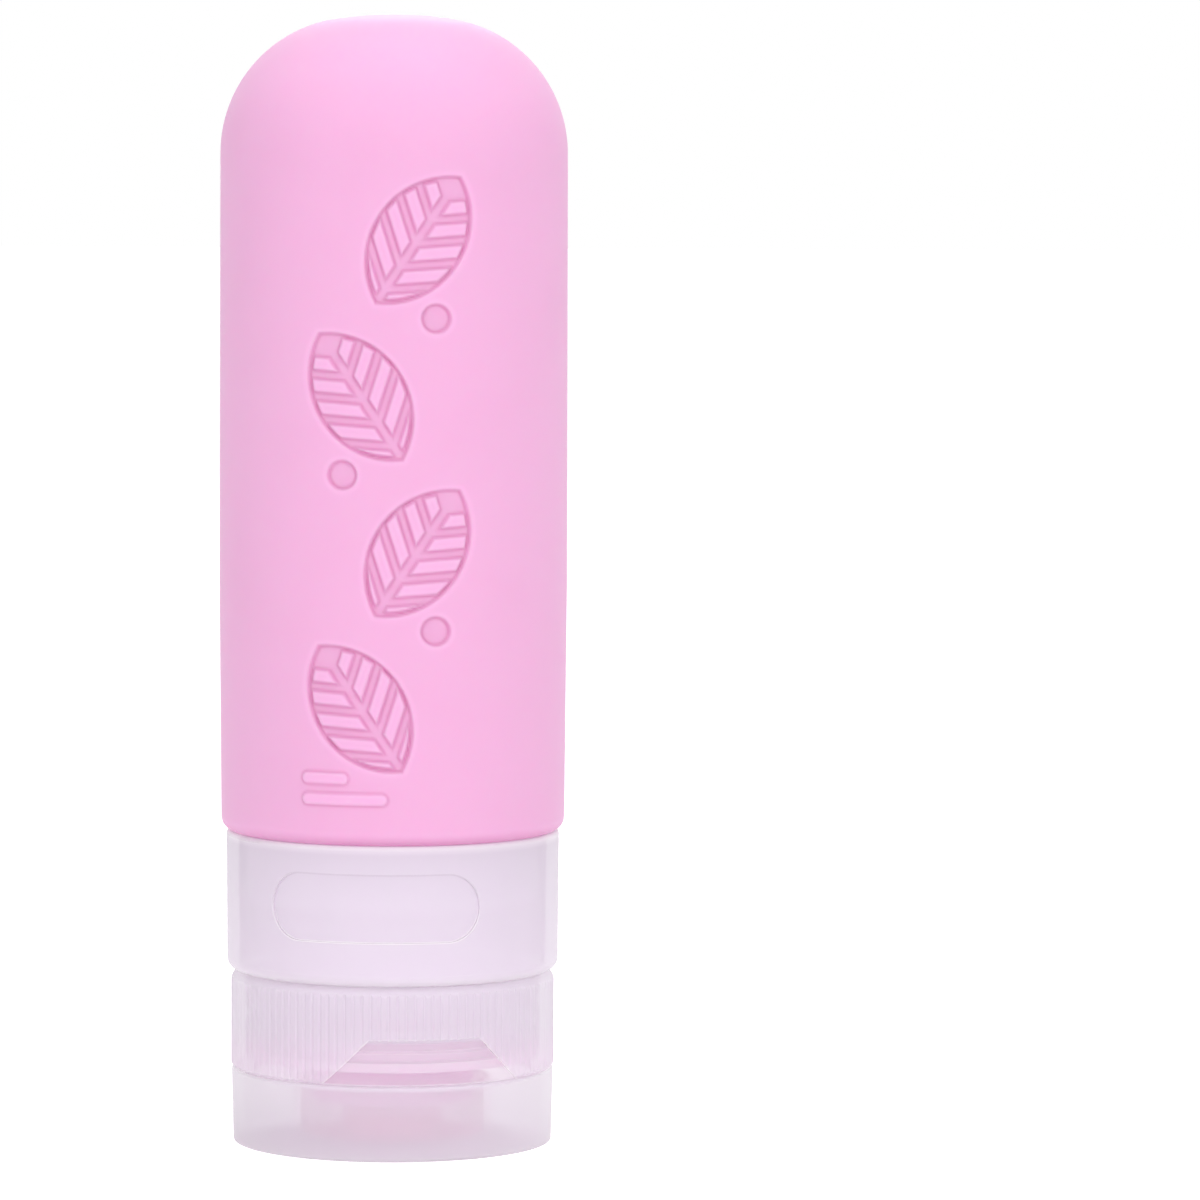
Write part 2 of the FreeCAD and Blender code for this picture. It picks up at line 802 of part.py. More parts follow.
def make_valve_ring():
    foot = deck_top + size.valve_flange_thickness
    top = foot + size.valve_ring_thickness
    outer = boss_bore - size.fit_clearance
    inner = outer - size.valve_ring_width
    return turned_body("valve_ring", [(inner, foot), (outer, foot), (outer, top), (inner, top)])


def make_flip_lid():
    floor = size.lid_end_wall
    seal_bore = spout_root_radius + size.seal_clearance
    seal_radius = seal_bore + size.seal_wall
    seal_top = size.lid_height - size.seal_rim_drop
    plug_top = seam - size.spout_length + size.spout_lip - size.plug_gap
    plug_radius = orifice_radius - size.plug_clearance
    plug_bore = plug_radius - size.plug_wall
    end_edge = (lid_end_radius, ZERO)
    rim_edge = (lid_rim_radius, size.lid_height)
    cup = turned_body("lid_cup", [
        (ZERO, ZERO),
        end_edge,
        rim_edge,
        (lid_bore, size.lid_height),
        (lid_end_radius - size.lid_wall, floor),
        (seal_radius, floor),
        (seal_radius, seal_top),
        (seal_bore, seal_top),
        (seal_bore, floor),
        (plug_radius, floor),
        (plug_radius, plug_top),
        (plug_bore, plug_top),
        (plug_bore, floor),
        (ZERO, floor),
    ])
    round_edges(cup, "lid_end_edge", [end_edge], size.lid_end_round)
    round_edges(cup, "lid_rim_edge", [rim_edge], size.lid_rim_round)
    return clock(combine("Cut", "flip_lid", cup, make_hinge_pocket("lid_pocket")), size.cap_clock)


pieces = [
    make_squeeze_body(),
    make_neck_insert(),
    make_collar(),
    make_cap_gasket(),
    make_cap_base(),
    make_drip_valve(),
    make_valve_ring(),
    make_hinge_web(),
    make_hinge_wing("hinge_wing_left", -1),
    make_hinge_wing("hinge_wing_right", 1),
    make_flip_lid(),
]
doc.recompute()

faults = [thing.Name for thing in doc.Objects if {"Invalid", "Error"} & set(thing.State)]
faults += [piece.Label for piece in pieces if piece.Shape.isNull() or not piece.Shape.isValid()]
faults += [piece.Label for piece in pieces if len(piece.Shape.Solids) != 1]
if faults:
    raise RuntimeError(f"These objects failed: {faults}")

os.makedirs("parts", exist_ok=True)
for piece in pieces:
    piece.Shape.exportStep(f"parts/{piece.Label}.step")
    print(f"{piece.Label}: {piece.Shape.Volume:.1f} mm3")
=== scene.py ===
import math

import bpy
import numpy as np
from mathutils import Matrix, Vector


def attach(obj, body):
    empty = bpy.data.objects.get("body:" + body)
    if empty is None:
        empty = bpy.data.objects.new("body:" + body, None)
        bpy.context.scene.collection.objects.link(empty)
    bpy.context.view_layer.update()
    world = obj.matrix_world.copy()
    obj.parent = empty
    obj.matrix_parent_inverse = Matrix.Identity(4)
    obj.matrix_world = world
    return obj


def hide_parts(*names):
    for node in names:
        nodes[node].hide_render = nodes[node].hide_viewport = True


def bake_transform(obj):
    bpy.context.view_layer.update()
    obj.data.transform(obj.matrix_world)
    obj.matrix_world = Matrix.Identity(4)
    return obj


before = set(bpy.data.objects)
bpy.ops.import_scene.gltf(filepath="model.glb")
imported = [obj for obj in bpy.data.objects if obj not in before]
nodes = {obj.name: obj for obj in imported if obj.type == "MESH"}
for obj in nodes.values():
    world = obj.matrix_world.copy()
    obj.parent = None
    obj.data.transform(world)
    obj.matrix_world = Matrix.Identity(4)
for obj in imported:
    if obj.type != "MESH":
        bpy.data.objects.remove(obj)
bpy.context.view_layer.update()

MM = 0.001

# Bottle sizes in millimetres
BODY_FOOT = 38.12
BODY_TOP = 136.92
BODY_RADIUS = 21.0
BELLY_RADIUS = 21.1
BODY_FOOT_RADIUS = 20.85
TAPER_TOP = 68.12
WALL = 2.8
CROWN = 48.2
SHOULDER = 16.4
FOOT_ROUND = 1.6
MOUTH_RADIUS = 16.6
LIP_TOP = 41.12

# Points round the body's skin, finer at the front and back, and along its profile
FINE_HALF_ANGLE = 45
FINE_TURNS = 166
COARSE_TURNS = 34
DOME_ROWS = 40
UPPER_ROWS = 236
LOWER_ROWS = 122
FOOT_ROWS = 10
CAVITY_ROWS = 12

# Leaf relief on the front and back, in millimetres and degrees
RELIEF_DEPTH = 0.5
RELIEF_SOFTNESS = 0.17
LEAF_LENGTH = 18.0
LEAF_WIDTH = 11.0
LEAF_BORDER = 0.4
LEAF_MIDRIB = 1.3
SLAT = 1.9
SLAT_PITCH = 3.3
SLAT_ANGLE = 38.0
SLAT_PAIRS = 5
LEAF_COUNT = 4
LEAF_RISE = 18.6
LEAF_STAGGER = 3.4
LEAF_TILT = 34.0
LEAF_FIRST = 16.5
DOT_RADIUS = 1.7
DOT_STAGGER = 5.6

# Raised bars near the foot, in millimetres and degrees
MARK_RISE = 0.35
MARK_LENGTHS = (10.4, 5.72)
MARK_BAR = 1.3
MARK_GAP = 1.2
MARK_HEIGHT = 5.0
MARK_CLOCK = -14.8

# Tones of the body, from dark at -1 to pale at 1: painted shade on and around the sunk relief, around the
# bars and at the foot, painted highlight along the relief's brims and on the bars' tops, and a random drift
# Lines as (tone, place outside the outline, width)
BRIM_HIGHLIGHT = (0.3, 0.45, 0.2)
WALL_SHADE = (-0.6, -0.05, 0.22)
SUNK_SHADE = -0.1
MARK_HIGHLIGHT = 0.3
MARK_SHADE = (-0.5, 0.1, 0.2)
FOOT_SHADE = -0.6
TONE_DRIFT = 0.12
# Palest shade of the silicone: painted highlight, and the pale end of its random drift
HIGHLIGHT_AND_DRIFT_PALEST = 1.12

# Hinge across the seam, in millimetres
HINGE_RIDGE_RADIUS = 19.55
HINGE_RIDGE_SOFTNESS = 0.1

# Colours of the silicone and the plastics
PINK = (0.86, 0.465, 0.715, 1)
SEAL = (0.84, 0.63, 0.76, 1)
# Darkest tint of the silicone: painted shade, and the dark end of its random drift
SHADE_AND_DRIFT_TINT = (0.8, 0.55, 0.68)
FROST = (0.765, 0.69, 0.79, 1)
# Pink tint: random drift on the plastics, and painted pink glow of the valve on the cap's notch walls
BLUSH = (0.83, 0.71, 0.825, 1)
# Painted shade on the collar's downward-leaning edges
EDGE_SHADE = (0.66, 0.58, 0.68, 1)
# Painted pink glow of the valve on the cap near the axis
CORE_GLOW = (0.82, 0.58, 0.72, 1)
# Painted pink glow of the valve inside the lid
GLOW = (0.76, 0.34, 0.5, 1)
# Painted light on the lid's inside
INSIDE_LIGHT = (0.96, 0.92, 0.94, 1)
# Painted pink glow of the valve on the cap's lower part
ROSE_GLOW = (0.86, 0.7, 0.85, 1)
# Painted highlight on the frosted pieces' moulded edges, and the white of the hinge ridges
EDGE = (0.98, 0.95, 0.98, 1)
# Painted highlight on the collar's foot and top rounds
RIM_HIGHLIGHT = (0.88, 0.82, 0.9, 1)

# Noise as (scale, detail), roughness as (low, high), bump as (strength, distance)
SILICONE_DRIFT = (70, 3)
SILICONE_GRAIN = (5200, 2)
SILICONE_ROUGHNESS = (0.5, 0.62)
SILICONE_BUMP = (0.06, 0.00004)
PLASTIC_DRIFT = (110, 3)
PLASTIC_GRAIN = (3800, 2)
PLASTIC_ROUGHNESS = (0.5, 0.6)
PLASTIC_BUMP = (0.04, 0.00003)
BLUSH_SHARE = (-0.04, 0.12)
FILM_DRIFT = (400, 2)
FILM_ROUGHNESS = (0.25, 0.35)
FILM_PALER = 1.05
FILM_OPACITY = (0.4, 0.9)

# Frosted plastic: share of scattered light that a wall holds back
LIGHT_HELD = 0.2
OUTWARD = (1, 1, 0)
UPWARD = (0, 0, 1)

# Moulded edges, where highlight and shade are painted: their width in millimetres, and how far a normal
# leans or turns there
EDGE_WIDTH = 0.25
EDGE_SAMPLES = 6
EDGE_LEAN = 0.3
EDGE_START = 0.96
EDGE_FULL = 0.8

# Heights between which the painted shade on the collar's downward-leaning edges fades in
COLLAR_FOOT = (22.8, 23.2)

# Studio, in metres and watts
FLOOR_SIZE = 6
FLOOR_GRID = 12
FLOOR_DROP = 0.0002
FLOOR_SPECK = (3, 2)
FLOOR_TONES = ((0.9, 0.9, 0.9, 1), (0.92, 0.92, 0.92, 1))
FLOOR_LIFT = 0.55
OPEN_DEPTH = 0.5
WORLD_TINT = (1, 0.985, 1, 1)
WORLD_LIGHT = 0.585
WHITE = (1, 1, 1, 1)

# Lamps as (name, place, target, size, power)
LAMPS = (
    ("key_lamp", (0.5, -0.86, 0.65), (0, 0, 0.08), 0.6, 4.05),
    ("fill_lamp", (-0.62, -0.8, 0.4), (0, 0, 0.07), 0.7, 2.2),
    ("top_lamp", (0.05, 0.1, 0.9), (0, 0, 0.1), 0.5, 2.3),
    ("back_lamp", (0.0, 1.05, 0.5), (0, 0, 0.07), 0.35, 1.4),
)

# Camera at the photograph's view, in millimetres, metres and degrees
SENSOR_WIDTH = 36
LENS = 232.92
CLIP = (0.05, 20)
CAMERA_PLACE = (0.0251, -0.94, 0.1429)
CAMERA_TILT = 90 - 4.67
CAMERA_ROLL = 0.24

# See-through faces that a ray may pass
CLEAR_BOUNCES = 32


def smooth(value, width):
    """Soft step from 0 to 1 across a band of the given half width about zero."""
    t = np.clip((value + width) / (2 * width), 0, 1)
    return t * t * (3 - 2 * t)


def lens_distance(u, v, half_length, half_width):
    """Distance outside a pointed leaf outline between two arcs, negative inside."""
    radius = (half_length ** 2 + half_width ** 2) / (2 * half_width)
    shift = radius - half_width
    right = np.hypot(u + shift, v) - radius
    left = np.hypot(u - shift, v) - radius
    return np.maximum(right, left)


def leaf_distance(u, v):
    """Distance outside the sunk stripes of an upright leaf."""
    half_length, half_width = LEAF_LENGTH / 2, LEAF_WIDTH / 2
    rim = lens_distance(u, v, half_length, half_width)
    inside_length = half_length - LEAF_BORDER * half_length / half_width
    inside = lens_distance(u, v, inside_length, half_width - LEAF_BORDER)
    inner = LEAF_MIDRIB / 2
    slope = math.radians(SLAT_ANGLE)
    beside = inner - np.abs(u)
    level = v - (np.abs(u) - inner) * math.tan(slope)
    slats = np.full_like(u, LEAF_LENGTH)
    for pair in range(SLAT_PAIRS):
        middle = SLAT_PITCH * (pair - SLAT_PAIRS / 2)
        strip = (np.abs(level - middle) - SLAT / 2) * math.cos(slope)
        slats = np.minimum(slats, np.maximum.reduce([strip, beside, inside]))
    return np.maximum(rim, -slats)


def relief_distance(x, z):
    """Distance outside the sunk leaves and dots of one side, seen straight on."""
    away = np.full_like(x, BODY_TOP)
    for index in range(LEAF_COUNT):
        side = 1 if index % 2 else -1
        height = BODY_FOOT + LEAF_FIRST + LEAF_RISE * index
        tilt = math.radians(side * LEAF_TILT)
        dx, dz = x - side * LEAF_STAGGER, z - height
        u = dx * math.cos(tilt) - dz * math.sin(tilt)
        v = dx * math.sin(tilt) + dz * math.cos(tilt)
        away = np.minimum(away, leaf_distance(u, v))
        if index:
            dot = np.hypot(x - side * DOT_STAGGER, z - height + LEAF_RISE / 2) - DOT_RADIUS
            away = np.minimum(away, dot)
    return away


def mark_distance(x, z):
    """Distance outside the two raised bars."""
    away = np.full_like(x, BODY_TOP)
    round_end = MARK_BAR / 2
    for index, length in enumerate(MARK_LENGTHS):
        left = -MARK_LENGTHS[0] / 2
        foot = BODY_FOOT + MARK_HEIGHT + (MARK_BAR + MARK_GAP) * index
        along = np.abs(x - left - length / 2) - length / 2 + round_end
        up = np.abs(z - foot - MARK_BAR / 2) - MARK_BAR / 2 + round_end
        away = np.minimum(away, np.hypot(np.maximum(along, 0), np.maximum(up, 0)) - round_end)
    return away


def line(distance, tone, place, width):
    """Soft line along an outline, at a place outside it."""
    return tone * np.exp(-((distance - place) / width) ** 2)


def arc(centre, radius, start, end, count):
    """Points of an arc in (radius, height), angles in degrees from the outward direction."""
    turns = np.radians(np.linspace(start, end, count))
    return [(centre[0] + radius * math.cos(t), centre[1] + radius * math.sin(t)) for t in turns]


def dome(wall, count):
    """Crown and shoulder from the axis down to the wall."""
    radius, crown, shoulder, top = BODY_RADIUS - wall, CROWN - wall, SHOULDER - wall, BODY_TOP - wall
    offset = radius - shoulder
    reach = math.sqrt((crown - shoulder) ** 2 - offset ** 2)
    lean = math.degrees(math.atan2(reach, offset))
    cap = arc((0, top - crown), crown, 90, lean, count // 3)
    side = arc((offset, top - crown + reach), shoulder, lean, 0, count)
    return cap[1:] + side[1:]


def skin(name, rows, angles, push):
    """Skin of revolution from one pole to the other. push gives each point's move outward and its tone,
    which paints light and shade on the skin.
    """
    radius = np.array([r for r, _ in rows])[:, None]
    height = np.array([z for _, z in rows])[:, None]
    turn = np.array(angles)[None, :]
    shift, tone = push(radius, turn, height)
    reach = radius + shift
    points = np.stack([reach * np.sin(turn), -reach * np.cos(turn), height + 0 * turn], axis=-1)
    count = len(angles)
    first = np.array([[0, 0, BODY_TOP]])
    last = np.array([[0, 0, BODY_TOP - WALL]])
    coordinates = np.concatenate([first, points.reshape(-1, 3), last]) * MM
    end = len(coordinates) - 1
    faces = []
    for j in range(count):
        k = (j + 1) % count
        faces.append((0, 1 + j, 1 + k))
        for i in range(len(rows) - 1):
            base = 1 + i * count
            faces.append((base + j, base + count + j, base + count + k, base + k))
        base = 1 + (len(rows) - 1) * count
        faces.append((base + j, end, base + k))
    mesh = bpy.data.meshes.new(name)
    mesh.from_pydata(coordinates.tolist(), [], faces)
    mesh.shade_smooth()
    mesh.update()
    painted_light = mesh.attributes.new("tone", "FLOAT", "POINT")
    painted_light.data.foreach_set("value", np.concatenate([[0], tone.ravel(), [0]]))
    piece = bpy.data.objects.new(name, mesh)
    bpy.context.scene.collection.objects.link(piece)
    return piece


def make_bottle():
    """The silicone body with its relief: outside from the top to the foot, then lip and cavity."""
    fine = np.radians(np.linspace(-FINE_HALF_ANGLE, FINE_HALF_ANGLE, FINE_TURNS))
    coarse = np.radians(np.linspace(FINE_HALF_ANGLE, 180 - FINE_HALF_ANGLE, COARSE_TURNS))[1:-1]
    angles = np.concatenate([fine, coarse, fine + math.pi, coarse + math.pi])
    crown_rows = dome(0, DOME_ROWS)
    shoulder_foot = crown_rows[-1][1]
    foot_centre = (BODY_FOOT_RADIUS - FOOT_ROUND, BODY_FOOT + FOOT_ROUND)
    swell = (BELLY_RADIUS - BODY_RADIUS) / (shoulder_foot - TAPER_TOP)
    upper_heights = np.linspace(shoulder_foot, TAPER_TOP, UPPER_ROWS)[1:]
    upper = [(BODY_RADIUS + swell * (shoulder_foot - z), z) for z in upper_heights]
    lower_heights = np.linspace(TAPER_TOP, foot_centre[1], LOWER_ROWS)[1:]
    slope = (BELLY_RADIUS - BODY_FOOT_RADIUS) / (TAPER_TOP - BODY_FOOT)
    lower = [(BODY_FOOT_RADIUS + slope * (z - BODY_FOOT), z) for z in lower_heights]
    foot = arc(foot_centre, FOOT_ROUND, 0, -90, FOOT_ROWS)[1:]
    lip = [(MOUTH_RADIUS, BODY_FOOT), (MOUTH_RADIUS, LIP_TOP), (BODY_FOOT_RADIUS - WALL, LIP_TOP)]
    cavity = [(BELLY_RADIUS - WALL, TAPER_TOP)] + dome(WALL, CAVITY_ROWS)[::-1]
    rows = crown_rows + upper + lower + foot + lip + cavity
    outer_count, foot_count = len(crown_rows + upper + lower), len(foot)

    def push(radius, turn, height):
        x, y = radius * np.sin(turn), -radius * np.cos(turn)
        level = height + 0 * turn
        clock = math.radians(MARK_CLOCK)
        sunk = relief_distance(np.where(y < 0, x, -x), level)
        across = x * math.cos(clock) + y * math.sin(clock)
        mark = np.where(y < 0, mark_distance(across, level), BODY_TOP)
        floor, bar = smooth(-sunk, RELIEF_SOFTNESS), smooth(-mark, RELIEF_SOFTNESS)
        shift = MARK_RISE * bar - RELIEF_DEPTH * floor
        # Painted highlight just outside the relief's outline, painted shade on its walls and sunk floors
        tone = line(sunk, *BRIM_HIGHLIGHT) + line(sunk, *WALL_SHADE) + SUNK_SHADE * floor
        # Painted highlight on the bars' tops, painted shade around them
        tone += MARK_HIGHLIGHT * bar + line(mark, *MARK_SHADE)
        # Painted shade on the foot's lower round
        tone += FOOT_SHADE * smooth(BODY_FOOT + FOOT_ROUND / 2 - level, FOOT_ROUND / 2)
        shift[outer_count:] = 0
        tone[outer_count + foot_count:] = 0
        return shift, tone

    return skin("bottle_skin", rows, angles, push)


class Shader:
    """A material's node tree with a few short cuts."""

    def __init__(self, name):
        self.material = bpy.data.materials.new(name)
        self.material.use_nodes = True
        self.tree = self.material.node_tree
        self.surface = self.tree.nodes["Principled BSDF"]

    def node(self, kind, **values):
        made = self.tree.nodes.new(kind)
        for key, value in values.items():
            made.inputs[key.title()].default_value = value
        return made

    def link(self, start, end):
        self.tree.links.new(start, end)

    def set(self, values):
        for key, value in values.items():
            self.surface.inputs[key].default_value = value

    def noise(self, scale, detail):
        place = self.node("ShaderNodeTexCoord")
        noise = self.node("ShaderNodeTexNoise", scale=scale, detail=detail)
        self.link(place.outputs["Object"], noise.inputs["Vector"])
        return noise.outputs["Fac"]

    def ramp(self, factor, low, high, start=0.3, end=0.7):
        ramp = self.node("ShaderNodeValToRGB")
        ramp.color_ramp.elements[0].position = start
        ramp.color_ramp.elements[1].position = end
        ramp.color_ramp.elements[0].color = low
        ramp.color_ramp.elements[1].color = high
        self.link(factor, ramp.inputs["Fac"])
        return ramp.outputs["Color"]

    def tones(self, factor, stops):
        """Colour from (value, colour) stops, with the values from -1 to 1."""
        place = self.node("ShaderNodeMapRange")
        place.inputs["From Min"].default_value = -1
        self.link(factor, place.inputs["Value"])
        ramp = self.node("ShaderNodeValToRGB")
        marks = ramp.color_ramp.elements
        for index, (value, colour) in enumerate(stops):
            mark = marks[index] if index < len(marks) else marks.new(1)
            mark.position = (value + 1) / 2
            mark.color = colour
        self.link(place.outputs["Result"], ramp.inputs["Fac"])
        return ramp.outputs["Color"]

    def span(self, factor, low, high):
        span = self.node("ShaderNodeMapRange")
        span.inputs["To Min"].default_value = low
        span.inputs["To Max"].default_value = high
        self.link(factor, span.inputs["Value"])
        return span.outputs["Result"]

    def distance(self, along):
        """Distance out from the bottle's axis or up it."""
        place = self.node("ShaderNodeTexCoord")
        flat = self.node("ShaderNodeVectorMath")
        flat.operation = "MULTIPLY"
        flat.inputs[1].default_value = along
        length = self.node("ShaderNodeVectorMath")
        length.operation = "LENGTH"
        self.link(place.outputs["Object"], flat.inputs[0])
        self.link(flat.outputs["Vector"], length.inputs[0])
        return length.outputs["Value"]

    def layers(self, stops, along):
        """Colour and opacity from (place, colour, opacity) stops, out from the axis or up it."""
        last = stops[-1][0]
        ramp = self.node("ShaderNodeValToRGB")
        marks = ramp.color_ramp.elements
        for index, (spot, colour, opacity) in enumerate(stops):
            mark = marks[index] if index < len(marks) else marks.new(1)
            mark.position = spot / last
            mark.color = colour[:3] + (opacity,)
        self.link(self.between(self.distance(along), 0, last * MM), ramp.inputs["Fac"])
        return ramp.outputs["Color"], ramp.outputs["Alpha"]

    def between(self, value, start, end):
        """0 to 1 as the value goes from start to end."""
        span = self.node("ShaderNodeMapRange")
        span.inputs["From Min"].default_value = start
        span.inputs["From Max"].default_value = end
        self.link(value, span.inputs["Value"])
        return span.outputs["Result"]

    def mix(self, factor, low, high):
        """From the colour low to the colour high, each fixed or linked."""
        mix = self.node("ShaderNodeMix")
        mix.data_type = "RGBA"
        ports = {s.identifier: s for s in mix.inputs}
        self.link(factor, ports["Factor_Float"])
        for key, colour in (("A_Color", low), ("B_Color", high)):
            if isinstance(colour, tuple):
                ports[key].default_value = colour
            else:
                self.link(colour, ports[key])
        return next(s for s in mix.outputs if s.identifier == "Result_Color")

    def math(self, operation, first, second):
        made = self.node("ShaderNodeMath")
        made.operation = operation
        self.link(first, made.inputs[0])
        self.link(second, made.inputs[1])
        return made.outputs["Value"]

    def one_face(self, opacity):
        """Opacity of a wall's near face, so that it counts once. Scattered light passes more freely."""
        wall = self.node("ShaderNodeNewGeometry")
        rays = self.node("ShaderNodeLightPath")
        near = self.span(wall.outputs["Backfacing"], 1, 0)
        light = self.math("MAXIMUM", rays.outputs["Is Shadow Ray"], rays.outputs["Is Diffuse Ray"])
        held = self.span(light, 1, LIGHT_HELD)
        return self.math("MULTIPLY", self.math("MULTIPLY", opacity, near), held)

    def edges(self, width):
        """How far a wall turns at moulded edges, 0 to 1: in any direction, upward and downward."""
        bevel = self.node("ShaderNodeBevel", radius=width)
        bevel.samples = EDGE_SAMPLES
        wall = self.node("ShaderNodeNewGeometry")
        turned = self.node("ShaderNodeVectorMath")
        turned.operation = "DOT_PRODUCT"
        lean = self.node("ShaderNodeVectorMath")
        lean.operation = "SUBTRACT"
        rise = self.node("ShaderNodeSeparateXYZ")
        for port, node in enumerate((bevel, wall)):
            self.link(node.outputs["Normal"], turned.inputs[port])
            self.link(node.outputs["Normal"], lean.inputs[port])
        self.link(lean.outputs["Vector"], rise.inputs["Vector"])
        whole = self.between(turned.outputs["Value"], EDGE_START, EDGE_FULL)
        upward = self.between(rise.outputs["Z"], 0, EDGE_LEAN)
        downward = self.between(rise.outputs["Z"], 0, -EDGE_LEAN)
        return whole, upward, downward

    def bump(self, height, strength, distance):
        bump = self.node("ShaderNodeBump", strength=strength, distance=distance)
        self.link(height, bump.inputs["Height"])
        self.link(bump.outputs["Normal"], self.surface.inputs["Normal"])


def tint(colour, amounts):
    return tuple(c * amount for c, amount in zip(colour, amounts)) + (1,)


def shade(colour, amount):
    return tint(colour, (amount,) * 3)


def silicone(name, colour):
    """Soft matte silicone, darker or paler by the skin's tone of painted light and shade, and by a random
    drift.
    """
    shader = Shader(name)
    shader.set({
        "Subsurface Weight": 0.6,
        "Subsurface Radius": (1.0, 0.55, 0.8),
        "Subsurface Scale": 0.003,
        "Sheen Weight": 0.01,
        "Sheen Roughness": 0.4,
        "Specular IOR Level": 0.13,
    })
    # The skin's tone: painted light and shade
    relief = shader.node("ShaderNodeAttribute")
    relief.attribute_name = "tone"
    drift = shader.span(shader.noise(*SILICONE_DRIFT), -TONE_DRIFT, TONE_DRIFT)
    tone = shader.math("ADD", relief.outputs["Fac"], drift)
    stops = ((-1, tint(colour, SHADE_AND_DRIFT_TINT)), (0, colour), (1, shade(colour, HIGHLIGHT_AND_DRIFT_PALEST)))
    shader.link(shader.tones(tone, stops), shader.surface.inputs["Base Color"])
    grain = shader.noise(*SILICONE_GRAIN)
    shader.link(shader.span(grain, *SILICONE_ROUGHNESS), shader.surface.inputs["Roughness"])
    shader.bump(grain, *SILICONE_BUMP)
    return shader.material


def frosted(name, stops, along=OUTWARD, band=None, valve_glow=None):
    """Milky plastic, whose colour and opacity go by the stops.

    The band gives a colour and an opacity of its own past a height, and the valve glow a share of rose, a
    painted pink glow from the valve. Moulded edges get a painted highlight, and where the stops go up,
    edges that lean down get a painted shade.
    """
    shader = Shader(name)
    shader.set({
        "Specular IOR Level": 0.05,
        "Subsurface Weight": 0.5,
        "Subsurface Radius": (1.0, 0.9, 1.0),
        "Subsurface Scale": 0.0015,
    })
    colour, opacity = shader.layers(stops, along)
    drift = shader.span(shader.noise(*PLASTIC_DRIFT), *BLUSH_SHARE)
    colour = shader.mix(drift, colour, BLUSH)
    # Painted highlight on moulded edges; on the collar, painted highlight on edges that lean up and painted
    # shade on edges that lean down, above its foot
    whole, upward, downward = shader.edges(EDGE_WIDTH * MM)
    if along == OUTWARD:
        colour = shader.mix(whole, colour, EDGE)
    else:
        start, end = (spot * MM for spot in COLLAR_FOOT)
        above_foot = shader.between(shader.distance(UPWARD), start, end)
        edge_shade_mask = shader.math("MULTIPLY", downward, above_foot)
        colour = shader.mix(edge_shade_mask, shader.mix(upward, colour, EDGE), EDGE_SHADE)
    # Painted pink glow of the valve, growing towards the lower height
    if valve_glow:
        start, end, share = valve_glow
        painted_light = shader.between(shader.distance(UPWARD), start * MM, end * MM)
        colour = shader.mix(shader.span(painted_light, 0, share), colour, ROSE_GLOW)
    if band:
        start, end, tone, hold = band
        past = shader.between(shader.distance(UPWARD), start * MM, end * MM)
        colour = shader.mix(past, colour, tone)
        opacity = shader.mix(past, opacity, (hold, hold, hold, 1))
    shader.link(colour, shader.surface.inputs["Base Color"])
    shader.link(shader.one_face(opacity), shader.surface.inputs["Alpha"])
    grain = shader.noise(*PLASTIC_GRAIN)
    shader.link(shader.span(grain, *PLASTIC_ROUGHNESS), shader.surface.inputs["Roughness"])
    shader.bump(grain, *PLASTIC_BUMP)
    return shader.material


def hinge_plastic():
    """Thin clear films with white ridges."""
    shader = Shader("hinge_plastic")
    shader.set({"Specular IOR Level": 0.2, "Subsurface Weight": 0.3, "Subsurface Scale": 0.0008})
    ridge = shader.node("ShaderNodeAttribute")
    ridge.attribute_name = "ridge"
    film = shader.ramp(shader.noise(*FILM_DRIFT), FROST, shade(FROST, FILM_PALER))
    shader.link(shader.mix(ridge.outputs["Fac"], film, EDGE), shader.surface.inputs["Base Color"])
    opacity = shader.span(ridge.outputs["Fac"], *FILM_OPACITY)
    shader.link(shader.one_face(opacity), shader.surface.inputs["Alpha"])
    grain = shader.noise(*PLASTIC_GRAIN)
    shader.link(shader.span(grain, *FILM_ROUGHNESS), shader.surface.inputs["Roughness"])
    return shader.material


def mark_ridges(mesh):
    """1 at the points of the hinge's raised ridges, 0 on the films between them."""
    spots = np.empty(len(mesh.vertices) * 3)
    mesh.vertices.foreach_get("co", spots)
    radius = np.hypot(*spots.reshape(-1, 3)[:, :2].T) / MM
    ridge = mesh.attributes.new("ridge", "FLOAT", "POINT")
    ridge.data.foreach_set("value", smooth(radius - HINGE_RIDGE_RADIUS, HINGE_RIDGE_SOFTNESS))


def wear(piece, material):
    piece.data.materials.clear()
    piece.data.materials.append(material)


# Looks of the frosted pieces as (place in millimetres, colour, opacity)
# Places go up the collar, and out from the axis in the other pieces
COLLAR_OPACITY = 0.84
# The collar: painted highlight on its foot and top rounds, and painted light and shade between them, paler
# near the foot and darker near the top
COLLAR_LOOK = [
    (21.2, RIM_HIGHLIGHT, COLLAR_OPACITY),
    (22.1, shade(FROST, 1.08), COLLAR_OPACITY),
    (25, shade(FROST, 1.06), COLLAR_OPACITY),
    (31, shade(FROST, 1.02), COLLAR_OPACITY),
    (37, shade(FROST, 0.96), COLLAR_OPACITY),
    (37.8, RIM_HIGHLIGHT, COLLAR_OPACITY),
]
NECK_LOOK = [(0, FROST, 0.5), (21, FROST, 0.5)]
# The cap: painted pink glow of the valve near the axis and on the notch walls
CAP_LOOK = [
    (14, CORE_GLOW, 0.3),
    (15, FROST, 0.75),
    (18.3, FROST, 0.75),
    (18.4, BLUSH, 0.55),
    (19.1, BLUSH, 0.55),
    (19.35, FROST, 0.82),
]
LID_TONE = shade(FROST, 1.03)
LID_OPACITY = 0.62
# The lid: painted pink glow of the valve near the axis, painted light on its inside
LID_LOOK = [
    (6, GLOW, 0.9),
    (11, GLOW, 0.5),
    (13, INSIDE_LIGHT, 0.15),
    (18.3, INSIDE_LIGHT, 0.15),
    (18.7, LID_TONE, LID_OPACITY),
]

